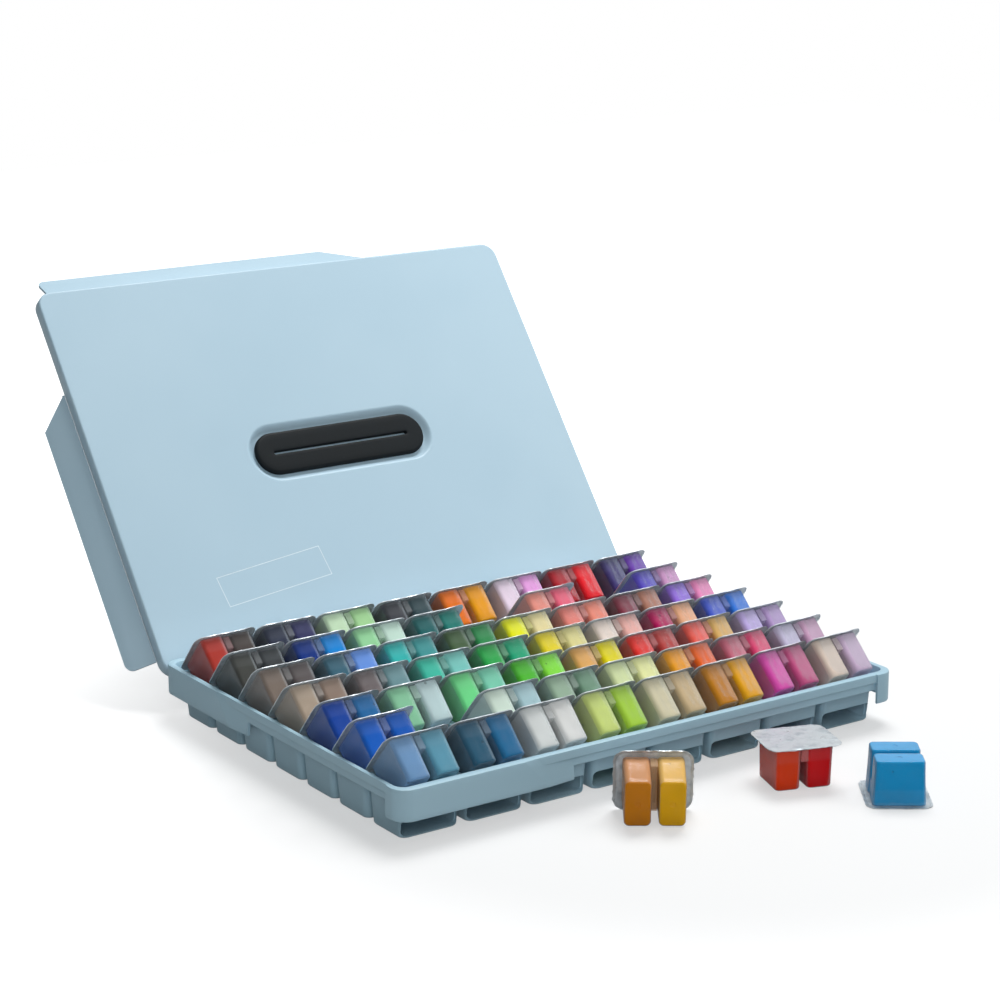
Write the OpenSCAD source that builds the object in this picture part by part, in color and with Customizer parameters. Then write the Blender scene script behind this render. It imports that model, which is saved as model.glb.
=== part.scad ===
// Gouache paint set box: a tray of twin-well paint cups standing tipped in
// their pockets, the lift-off snap lid stood open behind the tray, and three
// cups taken out and put down in front.
// Millimetres. X runs along the width, Y towards the back, Z up. The origin is
// the middle of the tray's underside.

/* [Paint cups] */
// Cups across the tray
columns = 8; // [6:1:10]
// Cups from the front of the tray to its back
rows = 7; // [6:1:8]
// Width of a cup's flange, across its two wells
flange_w = 37.4; // [35:0.2:44]
// Depth of a cup's flange, along its wells
flange_d = 31.2; // [30:0.2:36]
// Thickness of the flange
flange_t = 0.8; // [0.6:0.1:1.2]
// Radius of the flange's corners
flange_r = 5; // [2:0.5:6]
// Height of a cup, from the top of its flange to the bottom of its wells
cup_h = 22.9; // [18:0.1:25]
// Width of one well just below the flange
well_w = 13.9; // [12:0.1:14.4]
// Length of one well just below the flange
well_d = 26.8; // [22:0.2:27]
// How much narrower a well is at its bottom
well_taper_w = 0.8; // [0.4:0.1:2]
// How much shorter a well is at its bottom
well_taper_d = 2; // [0.6:0.1:3.4]
// Chamfer along a well's upright corners
well_chamfer = 1.4; // [1:0.2:3]
// Gap between the two wells just below the flange
well_gap = 3; // [2:0.1:3.4]
// Wall of a well
cup_wall = 0.5; // [0.4:0.05:0.8]
// Height of the web that bridges the two wells
web_h = 8.2; // [4:0.2:12]
// Thickness of the sealing foil
foil_t = 0.25; // [0.15:0.05:0.4]
// How far the foil spreads beyond the flange on a cup that is out of the tray
foil_over = 1; // [0:0.1:2]
// Empty places in the tray, each a row from the front and a column from the left
vacancies = [[2, 2], [6, 5], [6, 7]];

/* [Tray] */
// Space between the flanges of two cups side by side, lying flat
flange_gap_w = 0.6; // [0.4:0.1:2]
// Space between the flanges of two cups one behind the other, lying flat
flange_gap_d = 0.2; // [0.2:0.1:2]
// Width of the ledge that carries a flange at its sides
seat_w = 1.9; // [1:0.1:2]
// Width of the ledge that carries a flange at its front and back
seat_d = 1.9; // [1.7:0.1:2]
// Radius of a pocket's corners
pocket_r = 2.4; // [1:0.1:3]
// Wall of a pocket
pocket_wall = 1.1; // [0.9:0.1:1.3]
// Floor of a pocket
floor_t = 1.2; // [0.8:0.1:2]
// Space under a cup that lies flat in its pocket
under_cup = 1.3; // [0.6:0.1:4]
// Thickness of the deck between the pockets
deck_t = 1.2; // [0.9:0.1:1.8]
// Height of the rim above the deck
rim_rise = 4.8; // [3:0.2:8]
// Margin from the pocket grid to the tray's sides
margin_w = 5.5; // [5:0.5:12]
// Margin from the pocket grid to the tray's front and back
margin_d = 9.4; // [8.4:0.2:16]
// Width of the rim along the sides
rim_w_side = 3.5; // [3:0.1:4.5]
// Width of the rim along the front and back
rim_w_end = 5.2; // [4:0.1:7]
// Radius of the tray's corners
corner_r = 9; // [6:0.5:14]
// Height of the lip's outer face
lip_h = 4.7; // [4:0.1:8]
// How far the lip stands back behind the skirts
lip_inset = 0.8; // [0.4:0.1:1.4]
// Height of the band under the lip, with the lip
band_h = 9.4; // [8:0.2:12]
// How far the band stands back behind the skirts
band_inset = 2.4; // [1.8:0.1:2.8]
// Height of the deep skirts
skirt_h = 16.4; // [12:0.2:22]
// Thickness of the deep skirts
skirt_t = 1.4; // [1:0.1:1.8]
// Length of the front and back skirts
skirt_run_w = 103; // [80:1:140]
// Length of the side skirts
skirt_run_d = 90; // [60:1:100]
// How far a skirt reaches round its corner
skirt_wrap = 13; // [10:0.5:16]
// Length of a skirt's facet at its top, where it turns in
facet_run = 31; // [20:1:40]
// How far a facet turns in, in degrees
facet_turn = 8; // [4:0.5:9]
// Lean of a facet's crease towards the skirt's other end
facet_lean = 42; // [0:1:50]
// Height of the windows in the front pockets
window_h = 8.8; // [6:0.1:12]
// Diameter of the pad in the middle of the underside
pad_d = 14; // [10:1:20]

/* [Tipped cups] */
// Clearance between a tipped cup and the edge or the foil that it leans on
lean_clear = 0.55; // [0.3:0.05:1]
// Clearance of a tipped flange over the deck
seat_clear = 0.1; // [0.05:0.05:0.3]

/* [Lid] */
// Thickness of the lid's panel
lid_t = 1.6; // [1.2:0.1:2]
// Depth of the lid's rim
lid_rim = 7.3; // [6.8:0.1:12]
// Wall of the lid's rim
lid_wall = 1.4; // [1:0.1:2]
// Clearance of the lid's locating ridge inside the tray's rim
ridge_fit = 0.6; // [0.3:0.1:1]
// How far the locating ridge reaches beyond the rim
ridge_reach = 2; // [1:0.2:3]
// Lean of the lid, back from upright
lid_lean = 38; // [30:0.1:44]
// How far to the right of the tray's middle the lid stands
lid_shift = 3; // [0:0.1:10]
// Clearance between the lid's lower edge and the tray's back
lid_clear = 0.25; // [0.2:0.05:1]

/* [Locking flaps] */
// Length of a flap from its hinge to its free edge
flap_len = 16.4; // [12:0.2:20]
// Thickness of a flap
flap_t = 1.4; // [1:0.1:1.8]
// Distance from a corner of the lid to the start of a flap
flap_start = 10.5; // [9:0.5:20]
// Distance from that corner to the end of the free edge, upper and lower flaps
flap_run_w = 200; // [150:1:230]
// Distance from that corner to the end of the free edge, left and right flaps
flap_run_d = 159; // [110:1:165]
// Run of the sloping end, upper and lower flaps
flap_slope_w = 27; // [10:1:40]
// Run of the sloping end, left and right flaps
flap_slope_d = 17; // [8:1:30]
// Radius of a flap's free corner
flap_r = 5; // [2:0.5:7]
// Distance of the hinge line outside the lid's side
hinge_out = 1; // [0.95:0.05:2]
// Radius of the bead that locks under the tray's lip
bead_r = 1.3; // [1.1:0.1:1.4]
// Distance of that bead from the hinge line
bead_at = 6.8; // [6.6:0.1:8]
// Swing of the left and upper flaps, out from locked
flap_swing = 55; // [0:1:80]
// Swing of the lower flap, which the lid stands on
foot_swing = 35; // [10:1:45]

/* [Handle] */
// Length of the grip
grip_l = 114; // [90:1:140]
// Width of the grip
grip_w = 26.4; // [20:0.2:32]
// Thickness of the grip
grip_t = 3.2; // [2.4:0.1:3.5]
// Bevel round the grip's face
grip_bevel = 2; // [0.5:0.1:2.2]
// Length of the grip's slit
slit_l = 91.4; // [60:0.2:100]
// Width of the grip's slit
slit_w = 2; // [1:0.1:3]
// Depth of the recess for the grip
recess_h = 3.6; // [3.4:0.1:5.2]
// Clearance round the grip at the bottom of its recess
recess_fit = 0.8; // [0.4:0.1:2]
// How much wider than its bottom the recess is at the lid's face, each side
recess_flare = 4.3; // [1:0.1:5]
// Thickness of the lid round the recess
recess_wall = 1.4; // [1:0.1:1.6]
// Radius of the handle's stems
stem_r = 3; // [2:0.1:4]
// Distance between the stems
stem_span = 98; // [80:1:110]
// Running clearance round a stem
stem_fit = 0.08; // [0.05:0.01:0.1]
// Pull of the handle
pull = 3; // [1:0.1:3.4]
// Radius of the stems' retainers
retainer_r = 5; // [4.4:0.1:7]
// Thickness of the retainers
retainer_t = 1.2; // [0.8:0.1:1.6]
// Clearance under the grip
grip_clear = 0.1; // [0.05:0.05:0.3]

/* [Loose cups] */
// Place on the table of the cup that stands upright
upright_at = [56.2, -155];
// Turn of the upright cup
upright_turn = -19; // [-180:1:180]
// Place on the table of the cup that lies on its side
lying_at = [-28.4, -146.9];
// Turn of the lying cup
lying_turn = -35; // [-180:1:180]
// Place on the table of the cup that stands on its foil
inverted_at = [84.3, -198.7];
// Turn of the inverted cup
inverted_turn = 55; // [-180:1:180]

/* [Hidden] */
$fn = 48;
eps = 0.01;
pitch_x = flange_w + flange_gap_w;
pitch_y = flange_d + flange_gap_d;
tray_w = columns * pitch_x + 2 * margin_w;
tray_d = rows * pitch_y + 2 * margin_d;
deck_z = floor_t + under_cup + cup_h - flange_t;
tray_h = deck_z + rim_rise;
open_w = flange_w - 2 * seat_w;
open_d = flange_d - 2 * seat_d;
well_x = (well_w + well_gap) / 2;
rim_out = [tray_w, tray_d];
rim_in = [tray_w - 2 * rim_w_side, tray_d - 2 * rim_w_end];
tip = asin((cup_h + foil_t + lean_clear) / pitch_y);
tip_rise = seat_clear + flange_d / 2 * sin(tip) + flange_t * cos(tip);
tip_y = (cup_h + lean_clear - tip_rise * cos(tip)) / sin(tip) - open_d / 2;
hinge_z = -lid_rim + flap_t / 2;
foot_reach = norm([flap_len, flap_t / 2]);
foot_turn = lid_lean + foot_swing + atan2(flap_t / 2, flap_len);
lid_z = foot_reach * sin(foot_turn) + hinge_out * cos(lid_lean) - hinge_z * sin(lid_lean) + seat_clear;
lid_y = tray_d / 2 + lid_clear;
foil_d = flange_d + 2 * foil_over;
lie_tilt = atan((foil_d - well_d + well_taper_d) / 2 / cup_h);
lie_z = foil_d / 2 * cos(lie_tilt);
column_hues = ["royalblue", "cadetblue", "mediumseagreen", "yellowgreen", "goldenrod",
               "coral", "crimson", "mediumpurple", "slateblue", "orchid"];
flap_names = ["lower_flap", "left_flap", "upper_flap", "right_flap"];
flap_swings = [foot_swing, flap_swing, flap_swing, 0];

// A rectangle with round corners, centred
module rounded(size, r) {
    square([size.x - 2 * r, size.y], center = true);
    square([size.x, size.y - 2 * r], center = true);
    for (x = [-1, 1], y = [-1, 1])
        translate([x * (size.x / 2 - r), y * (size.y / 2 - r)]) circle(r);
}

// A long shape with half-round ends, centred
module stadium(length, width) {
    square([length - width, width], center = true);
    for (x = [-1, 1]) translate([x * (length - width) / 2, 0]) circle(d = width);
}

// An upright wall that follows the tray's outline, from low to high
module frame_wall(outer, outer_r, inner, inner_r, low, high) {
    translate([0, 0, low]) linear_extrude(high - low) difference() {
        rounded(outer, outer_r);
        rounded(inner, inner_r);
    }
}

// A section that widens evenly with height
module flared(low_w, high_w, height) {
    polygon([[-low_w / 2, 0], [low_w / 2, 0], [high_w / 2, height], [-high_w / 2, height]]);
}

module along_y(length) { rotate([90, 0, 0]) linear_extrude(length, center = true) children(); }

module along_x(length) { rotate([90, 0, 90]) linear_extrude(length, center = true) children(); }

// Where a column or a row lies, counted from the left and from the front
function column_x(c) = (c - (columns + 1) / 2) * pitch_x;
function row_y(k) = (k - (rows + 1) / 2) * pitch_y;
function is_vacant(k, c) = len([for (v = vacancies) if (v == [k, c]) 1]) > 0;

// ---- Tray ----

// Puts a shape at each pocket of these rows
module each_pocket(numbers) {
    for (c = [1:columns], k = numbers) translate([column_x(c), row_y(k)]) children();
}

// The windows low in the front pockets
module windows() {
    each_pocket([1]) translate([0, -open_d / 2, floor_t + window_h / 2])
        along_y(3 * pocket_wall) rounded([open_w, window_h], pocket_r);
}

// The space in front of a skirt's facet, or of its inner face at this depth
module facet_front(size, run, depth) {
    translate([-size.x / 2 + run - facet_run, depth - size.y / 2, tray_h])
        rotate([0, -facet_lean, 0]) rotate([0, 0, facet_turn])
            translate([0, -10, -50]) cube([100, 10, 100]);
}

// One deep skirt, at the front of a tray of this size, from its left corner
module skirt(size, run) {
    low = tray_h - skirt_h;
    full = band_inset + skirt_t;
    difference() {
        intersection() {
            frame_wall(size, corner_r, size - [2, 2] * full, corner_r - full, low, tray_h);
            translate([-size.x / 2 - 1, -size.y / 2 - 1, low]) cube([run + 1, skirt_wrap + 1, skirt_h]);
        }
        facet_front(size, run, 0);
        difference() {
            frame_wall(size - [2, 2] * skirt_t, corner_r - skirt_t, size / 2, 1, low - 1, tray_h - band_h);
            facet_front(size, run, skirt_t);
        }
    }
}

module tray() {
    color("lightsteelblue") {
        difference() {
            union() {
                linear_extrude(deck_z) each_pocket([1:rows])
                    rounded([open_w, open_d] + [2, 2] * pocket_wall, pocket_r + pocket_wall);
                translate([0, 0, deck_z - deck_t]) linear_extrude(deck_t)
                    rounded(rim_in + [2, 2], corner_r - rim_w_side);
                cylinder(d = pad_d, h = floor_t);
            }
            translate([0, 0, floor_t]) linear_extrude(tray_h) each_pocket([1:rows])
                rounded([open_w, open_d], pocket_r);
            windows();
        }
        frame_wall(rim_out - [2, 2] * band_inset, corner_r - band_inset, rim_in, corner_r - rim_w_side,
            tray_h - band_h, tray_h);
        frame_wall(rim_out - [2, 2] * lip_inset, corner_r - lip_inset, rim_in, corner_r - rim_w_side,
            tray_h - lip_h, tray_h);
        for (turn = [0, 180]) {
            rotate(turn) skirt([tray_w, tray_d], skirt_run_w);
            rotate(turn + 90) skirt([tray_d, tray_w], skirt_run_d);
        }
    }
}

// ---- Cups ----

// A well's solid, grown on every side, from a depth below the flange's top to its bottom
module well(grow, from, to) {
    low_w = well_w - well_taper_w + 2 * grow;
    low_d = well_d - well_taper_d + 2 * grow;
    hull() {
        translate([0, 0, -from]) linear_extrude(eps) chamfered(well_w + 2 * grow, well_d + 2 * grow);
        translate([0, 0, -to]) linear_extrude(eps) chamfered(low_w, low_d);
    }
}

module chamfered(w, d) {
    c = well_chamfer;
    polygon([[c - w / 2, -d / 2], [w / 2 - c, -d / 2], [w / 2, c - d / 2], [w / 2, d / 2 - c],
             [w / 2 - c, d / 2], [c - w / 2, d / 2], [-w / 2, d / 2 - c], [-w / 2, c - d / 2]]);
}

// A cup's clear shell; its origin is the middle of its flange's top
module cup_shell() {
    color("gainsboro") difference() {
        union() {
            translate([0, 0, -flange_t]) linear_extrude(flange_t) rounded([flange_w, flange_d], flange_r, $fn = 16);
            for (x = [-1, 1]) translate([x * well_x, 0, 0]) well(0, flange_t, cup_h);
            translate([-well_x / 2, -well_d / 2 + well_chamfer, -web_h])
                cube([well_x, well_d - 2 * well_chamfer, web_h - eps]);
        }
        for (x = [-1, 1]) translate([x * well_x, 0, 0]) well(-cup_wall, -eps, cup_h - cup_wall);
    }
}

// The paint that fills one well, to just under the foil
module paint_fill(hue) {
    skin = 0.05;
    color(hue) well(-cup_wall - skin, skin, cup_h - cup_wall - skin);
}

module cup_foil(over = 0) {
    color("silver") linear_extrude(foil_t)
        rounded([flange_w, flange_d] + [2, 2] * over, flange_r + over);
}

// Puts a cup's piece in its pocket, tipped forward on its flange's edge
module tipped(k, c) {
    translate([column_x(c), row_y(k) + tip_y, deck_z + tip_rise]) rotate([-tip, 0, 0]) children();
}

// Repeats a cup's piece along a row, past the empty places
module along_row(k) {
    for (c = [1:columns]) if (!is_vacant(k, c)) {
        $column = c;
        tipped(k, c) children();
    }
}

module row_cups(k) { along_row(k) cup_shell(); }

module row_paints(k, side) { along_row(k) translate([side * well_x, 0, 0]) paint_fill(column_hues[$column - 1]); }

module row_foils(k) { along_row(k) cup_foil(); }

// Places of the three cups that are out of the tray
module upright() { translate([upright_at.x, upright_at.y, cup_h]) rotate(upright_turn) children(); }

module lying() {
    translate([lying_at.x, lying_at.y, lie_z]) rotate(lying_turn) rotate([lie_tilt - 90, 0, 0]) children();
}

module inverted() {
    translate([inverted_at.x, inverted_at.y, foil_t]) rotate(inverted_turn) rotate([180, 0, 0]) children();
}

module loose_cup(name, left_hue, right_hue) {
    cup_shell();
    translate([-well_x, 0, 0]) paint_fill(left_hue);
    translate([well_x, 0, 0]) paint_fill(right_hue);
    cup_foil(foil_over);
}

// ---- Lid ----

// From the lid's own frame, X right, Y up its face and Z out of it, to where it stands
module standing_lid() {
    translate([lid_shift, lid_y, lid_z]) rotate([90 - lid_lean, 0, 0]) translate([0, tray_d / 2, 0]) children();
}

// A long shape that widens evenly with height, with cone ends
module dish(length, width, flare, height) {
    high = width + 2 * flare;
    along_x(length - width) flared(width, high, height);
    for (x = [-1, 1]) translate([x * (length - width) / 2, 0, 0]) cylinder(h = height, d1 = width, d2 = high);
}

module lid() {
    outline = [tray_w, tray_d];
    ridge = rim_in - [2, 2] * ridge_fit;
    floor_l = grip_l + 2 * recess_fit;
    floor_wide = grip_w + 2 * recess_fit;
    back = recess_h + recess_wall;
    color("lightsteelblue") difference() {
        union() {
            translate([0, 0, -lid_t]) linear_extrude(lid_t) rounded(outline, corner_r);
            frame_wall(outline, corner_r, outline - [2, 2] * lid_wall, corner_r - lid_wall, -lid_rim, 0);
            frame_wall(ridge, corner_r - rim_w_side, ridge - [2, 2] * lid_wall, corner_r - rim_w_side - lid_wall,
                -lid_rim - ridge_reach, 0);
            translate([0, 0, -back]) linear_extrude(back)
                stadium(floor_l + 2 * recess_wall, floor_wide + 2 * recess_wall);
            translate([0, 0, -recess_h]) linear_extrude(recess_h)
                stadium(floor_l + 2 * (recess_flare + recess_wall), floor_wide + 2 * (recess_flare + recess_wall));
        }
        translate([0, 0, -recess_h]) dish(floor_l, floor_wide, recess_flare, recess_h + eps);
        for (x = [-1, 1]) translate([x * stem_span / 2, 0, -back - 1])
            cylinder(r = stem_r + stem_fit, h = back + 1);
    }
}

// ---- Locking flaps ----

// A flap's plate in its own plane: X along the hinge from the flap's start, Y to the free edge
module flap_outline(full, slope) {
    difference() {
        polygon([[0, 0], [full + slope, 0], [full, flap_len], [0, flap_len]]);
        translate([-1, flap_len - flap_r]) square(flap_r + 1);
    }
    translate([flap_r, flap_len - flap_r]) circle(flap_r);
}

// A flap on the lower side of a lid of this size, from its right corner leftwards
module flap(size, run, slope, swing) {
    full = run - flap_start;
    color("lightsteelblue")
        translate([size.x / 2 - flap_start, -size.y / 2 - hinge_out, hinge_z]) rotate([-swing, 0, 0])
            mirror([1, 0, 0]) {
                translate([0, flap_t / 2, 0]) rotate([-90, 0, 0]) translate([0, 0, -flap_t])
                    linear_extrude(flap_t) flap_outline(full, slope);
                rotate([0, 90, 0]) cylinder(d = flap_t, h = full + slope);
                translate([flap_r + skirt_wrap, flap_t / 2, -bead_at]) rotate([0, 90, 0])
                    cylinder(r = bead_r, h = full - flap_r - 2 * skirt_wrap);
            }
}

// The four flaps, clockwise from the lower one
module lid_flap(i) {
    wide = i % 2 == 0;
    size = wide ? [tray_w, tray_d] : [tray_d, tray_w];
    standing_lid() rotate(-90 * i) flap(size, wide ? flap_run_w : flap_run_d,
        wide ? flap_slope_w : flap_slope_d, flap_swings[i]);
}

// ---- Handle ----

module handle_grip() {
    color("dimgray") standing_lid() translate([0, 0, grip_clear - recess_h]) difference() {
        union() {
            linear_extrude(grip_t - grip_bevel) stadium(grip_l, grip_w);
            translate([0, 0, grip_t - grip_bevel]) dish(grip_l, grip_w, -grip_bevel, grip_bevel);
        }
        translate([0, 0, -1]) linear_extrude(grip_t + 2) stadium(slit_l, slit_w);
    }
}

// The stems run from the grip through the lid to their retainers
module handle_stems() {
    length = grip_clear + recess_wall + pull + retainer_t;
    color("gray") standing_lid() for (x = [-1, 1])
        translate([x * stem_span / 2, 0, grip_clear - recess_h - length]) cylinder(r = stem_r, h = length);
}

module handle_retainers() {
    top = grip_clear - recess_h - recess_wall - pull - grip_clear;
    color("gray") standing_lid() for (x = [-1, 1])
        translate([x * stem_span / 2, 0, top - retainer_t]) difference() {
            cylinder(r = retainer_r, h = retainer_t);
            translate([0, 0, -1]) cylinder(r = stem_r, h = retainer_t + 2);
        }
}

tray();
standing_lid() lid();
handle_grip();
handle_stems();
handle_retainers();
for (i = [0:3]) lid_flap(i);
for (k = [1:rows]) {
    row_cups(k);
    row_paints(k, -1);
    row_paints(k, 1);
    row_foils(k);
}
upright() loose_cup("red", "orangered", "firebrick");
lying() loose_cup("yellow", "darkgoldenrod", "gold");
inverted() loose_cup("blue", "steelblue", "steelblue");
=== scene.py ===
"""Looks for the gouache paint set box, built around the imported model.

Lengths in the classes are millimetres, in the part's own frame: X along the
width, Y towards the back, Z up. Meshes are written in metres. The small steps
written in the profiles are the widths of eased edges.
"""

import logging
import math
from dataclasses import dataclass
from enum import Enum
from typing import Any, Optional, Sequence, Union

import bmesh
import bpy
import numpy as np
from mathutils import Matrix

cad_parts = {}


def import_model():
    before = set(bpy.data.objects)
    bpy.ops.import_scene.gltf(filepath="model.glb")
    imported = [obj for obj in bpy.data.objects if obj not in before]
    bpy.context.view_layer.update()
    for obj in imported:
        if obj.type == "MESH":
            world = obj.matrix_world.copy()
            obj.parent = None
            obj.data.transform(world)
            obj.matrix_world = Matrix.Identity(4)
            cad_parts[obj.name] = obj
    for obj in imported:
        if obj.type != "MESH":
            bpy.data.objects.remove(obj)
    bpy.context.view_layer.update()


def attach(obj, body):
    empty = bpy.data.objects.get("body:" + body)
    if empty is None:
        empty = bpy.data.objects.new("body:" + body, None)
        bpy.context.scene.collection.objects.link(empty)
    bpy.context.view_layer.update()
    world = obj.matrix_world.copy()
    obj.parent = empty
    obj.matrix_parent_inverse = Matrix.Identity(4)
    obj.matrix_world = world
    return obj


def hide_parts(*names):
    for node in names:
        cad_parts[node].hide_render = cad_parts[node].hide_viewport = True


LOG = logging.getLogger("paint_set")
MM = 0.001
IMAGE_SIZE = 1000

# Sizes that the tray, the lid and the cups' places share.
BOX = (315.0, 238.6)
CORNER = 9.0
PITCH = (38.0, 31.4)
COLUMNS, ROWS_DEEP = 8, 7
DECK = 24.6

# The angle in degrees above which an edge stays sharp, and the cells per metre of creased foil and paint.
SHARP = 32.0
CELL_SCALE = 150.0

Number = Union[int, float]
Colour = tuple[float, float, float, float]
Place = tuple[float, float, float]
Levels = list[tuple[np.ndarray, float]]
Material = bpy.types.Material
Object = bpy.types.Object


def linear(red: Number, green: Number, blue: Number) -> Colour:
    """Turns a screen colour of 0 to 255 a channel into linear light.

    Args:
        red, green, blue: the screen values.

    Returns:
        The linear colour, with full alpha.
    """
    screen = np.array([red, green, blue], float) / 255
    light = np.where(screen <= 0.04045, screen / 12.92, ((screen + 0.055) / 1.055) ** 2.4)
    return (float(light[0]), float(light[1]), float(light[2]), 1.0)


BLACK, WHITE = (0.0, 0.0, 0.0, 1.0), (1.0, 1.0, 1.0, 1.0)


class Slot(Enum):
    """The record's material slots."""

    BOX = "box_plastic"
    CLEAR = "clear_cup"
    FOIL = "foil"
    GRIP = "grip_rubber"
    HANDLE = "handle_plastic"


# ---------------------------------------------------------------- shader maths


class Wire:
    """An output socket that takes part in arithmetic by adding Math nodes."""

    def __init__(self, recipe: "Recipe", socket: bpy.types.NodeSocket) -> None:
        """Keeps the socket and the recipe that owns its node."""
        self.recipe = recipe
        self.socket = socket

    def calc(self, operation: str, *others: Union["Wire", Number], first: bool = True) -> "Wire":
        """Adds a Math node.

        Args:
            operation: the node's operation.
            others: the other operands.
            first: whether this wire is the first operand.

        Returns:
            The node's output.
        """
        values = [self, *others] if first else [*others, self]
        return self.recipe.node("ShaderNodeMath", {"operation": operation}, dict(enumerate(values)))

    def __add__(self, other: Union["Wire", Number]) -> "Wire":
        """Adds."""
        return self.calc("ADD", other)

    __radd__ = __add__

    def __mul__(self, other: Union["Wire", Number]) -> "Wire":
        """Multiplies."""
        return self.calc("MULTIPLY", other)

    __rmul__ = __mul__

    def __sub__(self, other: Union["Wire", Number]) -> "Wire":
        """Subtracts."""
        return self.calc("SUBTRACT", other)

    def __rsub__(self, other: Union["Wire", Number]) -> "Wire":
        """Subtracts this wire from a number."""
        return self.calc("SUBTRACT", other, first=False)

    def clamp(self) -> "Wire":
        """Limits the value to 0 to 1."""
        return self.recipe.node("ShaderNodeClamp", {}, {0: self})

    def ease(self, low: float, high: float) -> "Wire":
        """Rises smoothly from 0 at low to 1 at high.

        Args:
            low: the value at which the result is 0.
            high: the value at which the result is 1.

        Returns:
            The eased value.
        """
        inputs = {"Value": self, "From Min": low, "From Max": high}
        return self.recipe.node("ShaderNodeMapRange", {"interpolation_type": "SMOOTHSTEP"}, inputs)


class Recipe:
    """The node tree of a new material or world, under construction."""

    def __init__(self, owner: Union[Material, bpy.types.World]) -> None:
        """Empties the owner's node tree.

        Args:
            owner: the material or world.
        """
        owner.use_nodes = True
        self.owner = owner
        self.tree = owner.node_tree
        self.tree.nodes.clear()

    def node(self, kind: str, settings: dict[str, Any], inputs: dict[Any, Any],
             output: Union[int, str] = 0) -> Wire:
        """Adds a node, sets it up and feeds it.

        Args:
            kind: the node's type.
            settings: attributes that are set before the inputs.
            inputs: values or wires by socket name or number.
            output: which output to return.

        Returns:
            The chosen output.
        """
        made = self.tree.nodes.new(kind)
        for name, value in settings.items():
            setattr(made, name, value)
        for key, value in inputs.items():
            if isinstance(value, Wire):
                self.tree.links.new(value.socket, made.inputs[key])
            else:
                made.inputs[key].default_value = value
        return Wire(self, made.outputs[output])

    def place(self) -> Wire:
        """Object coordinates, in metres."""
        return self.node("ShaderNodeTexCoord", {}, {}, "Object")

    def noise(self, scale: float, detail: float = 3.0, rough: float = 0.5) -> Wire:
        """Soft noise around 0.5.

        Args:
            scale: repeats per metre.
            detail: octaves.
            rough: how strong the finer octaves are.

        Returns:
            The noise value.
        """
        inputs = {"Vector": self.place(), "Scale": scale, "Detail": detail, "Roughness": rough}
        return self.node("ShaderNodeTexNoise", {}, inputs)

    def cells(self, output: str, **settings: str) -> Wire:
        """Cells some 7 mm wide, by the chosen output: their distance or their colour."""
        inputs = {"Vector": self.place(), "Scale": CELL_SCALE}
        return self.node("ShaderNodeTexVoronoi", settings, inputs, output)

    def blend(self, share: Union[Wire, Number], low: Union[Wire, Colour], high: Union[Wire, Colour]) -> Wire:
        """Mixes two colours, with this share of the second."""
        return self.node("ShaderNodeMix", {"data_type": "RGBA"}, {0: share, 6: low, 7: high}, 2)

    def field(self, name: str, output: str = "Fac") -> Wire:
        """Reads a mesh attribute by name."""
        return self.node("ShaderNodeAttribute", {"attribute_name": name}, {}, output)

    def bump(self, height: Wire, strength: float, distance: float,
             under: Optional[Wire] = None) -> Wire:
        """Turns a height into a normal.

        Args:
            height: the height value.
            strength: how strong the relief is.
            distance: the relief's depth in metres.
            under: another normal below it.

        Returns:
            The normal.
        """
        inputs: dict[Any, Any] = {"Height": height, "Strength": strength, "Distance": distance}
        if under is not None:
            inputs["Normal"] = under
        return self.node("ShaderNodeBump", {}, inputs)

    def close(self, shader: Wire, kind: str = "ShaderNodeOutputMaterial") -> Any:
        """Links a shader to a new output.

        Args:
            shader: the shader.
            kind: the output node's type.

        Returns:
            The finished material or world.
        """
        out = self.tree.nodes.new(kind)
        self.tree.links.new(shader.socket, out.inputs["Surface"])
        return self.owner

    def finish(self, inputs: dict[str, Any]) -> Material:
        """Adds the surface shader with these sockets, and the output."""
        return self.close(self.node("ShaderNodeBsdfPrincipled", {}, inputs))


# -------------------------------------------------------------------- finishes


@dataclass(frozen=True)
class MouldedPlastic:
    """Satin light-blue moulded plastic of the lid and the flaps; the tray's copy is darker and more
    saturated, as painted shade on its shaded sides.
    """

    name: str = "box_plastic_satin"
    colour: Colour = linear(178, 203, 217)
    shade: Colour = linear(165, 193, 209)

    def make(self) -> Material:
        """Builds the material: a faint flow tone, a fine grain and soft gloss.

        Returns:
            The material.
        """
        mix = Recipe(bpy.data.materials.new(self.name))
        flow = mix.noise(9.0, 2.0).ease(0.3, 0.7)
        grain = mix.noise(2600.0, 2.0)
        smudge = mix.noise(38.0, 4.0, 0.6).ease(0.45, 0.8)
        tone = mix.blend(flow * 0.35, self.colour, self.shade)
        relief = mix.bump(grain, 0.10, 0.00006)
        return mix.finish({
            "Base Color": tone, "Roughness": smudge * 0.10 + 0.38, "Normal": relief, "IOR": 1.5,
            "Specular IOR Level": 0.28,
        })


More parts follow.
